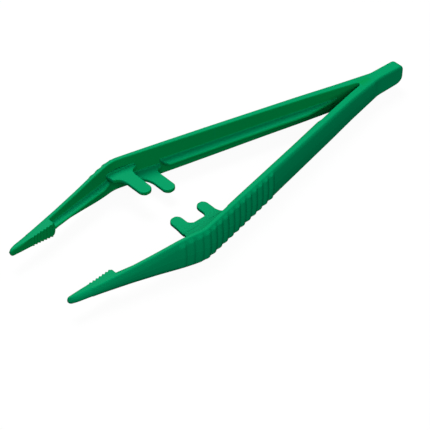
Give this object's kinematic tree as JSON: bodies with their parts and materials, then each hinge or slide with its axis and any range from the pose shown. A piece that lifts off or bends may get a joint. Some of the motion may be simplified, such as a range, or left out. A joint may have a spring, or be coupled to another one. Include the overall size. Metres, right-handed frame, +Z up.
{
  "type": "dressing forceps",
  "caption": "Moulded plastic tweezers with two sprung arms, reeded finger grips, interlocking guide prongs and toothed jaws.",
  "frame": {"origin": "centre of the whole object's length and width, at the level of the lowest edge, where it lies on a table", "axes": "+X along the forceps from the tips towards the tail, +Y from the near arm across the opening to the far arm, +Z up, at right angles to the plane in which the arms close"},
  "size_m": [0.127, 0.0378, 0.0098],
  "materials": {
    "green_polypropylene": "satin injection-moulded polypropylene, self-coloured green"
  },
  "bodies": {
    "tail": {"tail_block": "green_polypropylene", "near_root": "green_polypropylene", "far_root": "green_polypropylene"},
    "near_arm": {"near_shank": "green_polypropylene", "near_shank_spine": "green_polypropylene", "near_grip": "green_polypropylene", "near_guide_fork": "green_polypropylene", "near_tip_wall": "green_polypropylene", "near_tip_spine": "green_polypropylene", "near_jaw": "green_polypropylene", "near_nose": "green_polypropylene"},
    "far_arm": {"far_shank": "green_polypropylene", "far_shank_spine": "green_polypropylene", "far_grip": "green_polypropylene", "far_upper_guide": "green_polypropylene", "far_lower_guide": "green_polypropylene", "far_tip_wall": "green_polypropylene", "far_tip_spine": "green_polypropylene", "far_jaw": "green_polypropylene", "far_nose": "green_polypropylene"}
  },
  "joints": [
    {"name": "near_flex", "type": "hinge", "parent": "tail", "child": "near_arm", "pos_m": [0.0411, -0.00278, 0.0049], "axis": [0, 0, -1], "range_deg": [0, 5.95], "stiffness_Nm_per_rad": 1.5},
    {"name": "far_flex", "type": "hinge", "parent": "tail", "child": "far_arm", "pos_m": [0.0411, 0.00278, 0.0049], "axis": [0, 0, 1], "range_deg": [0, 5.95], "stiffness_Nm_per_rad": 1.5}
  ]
}
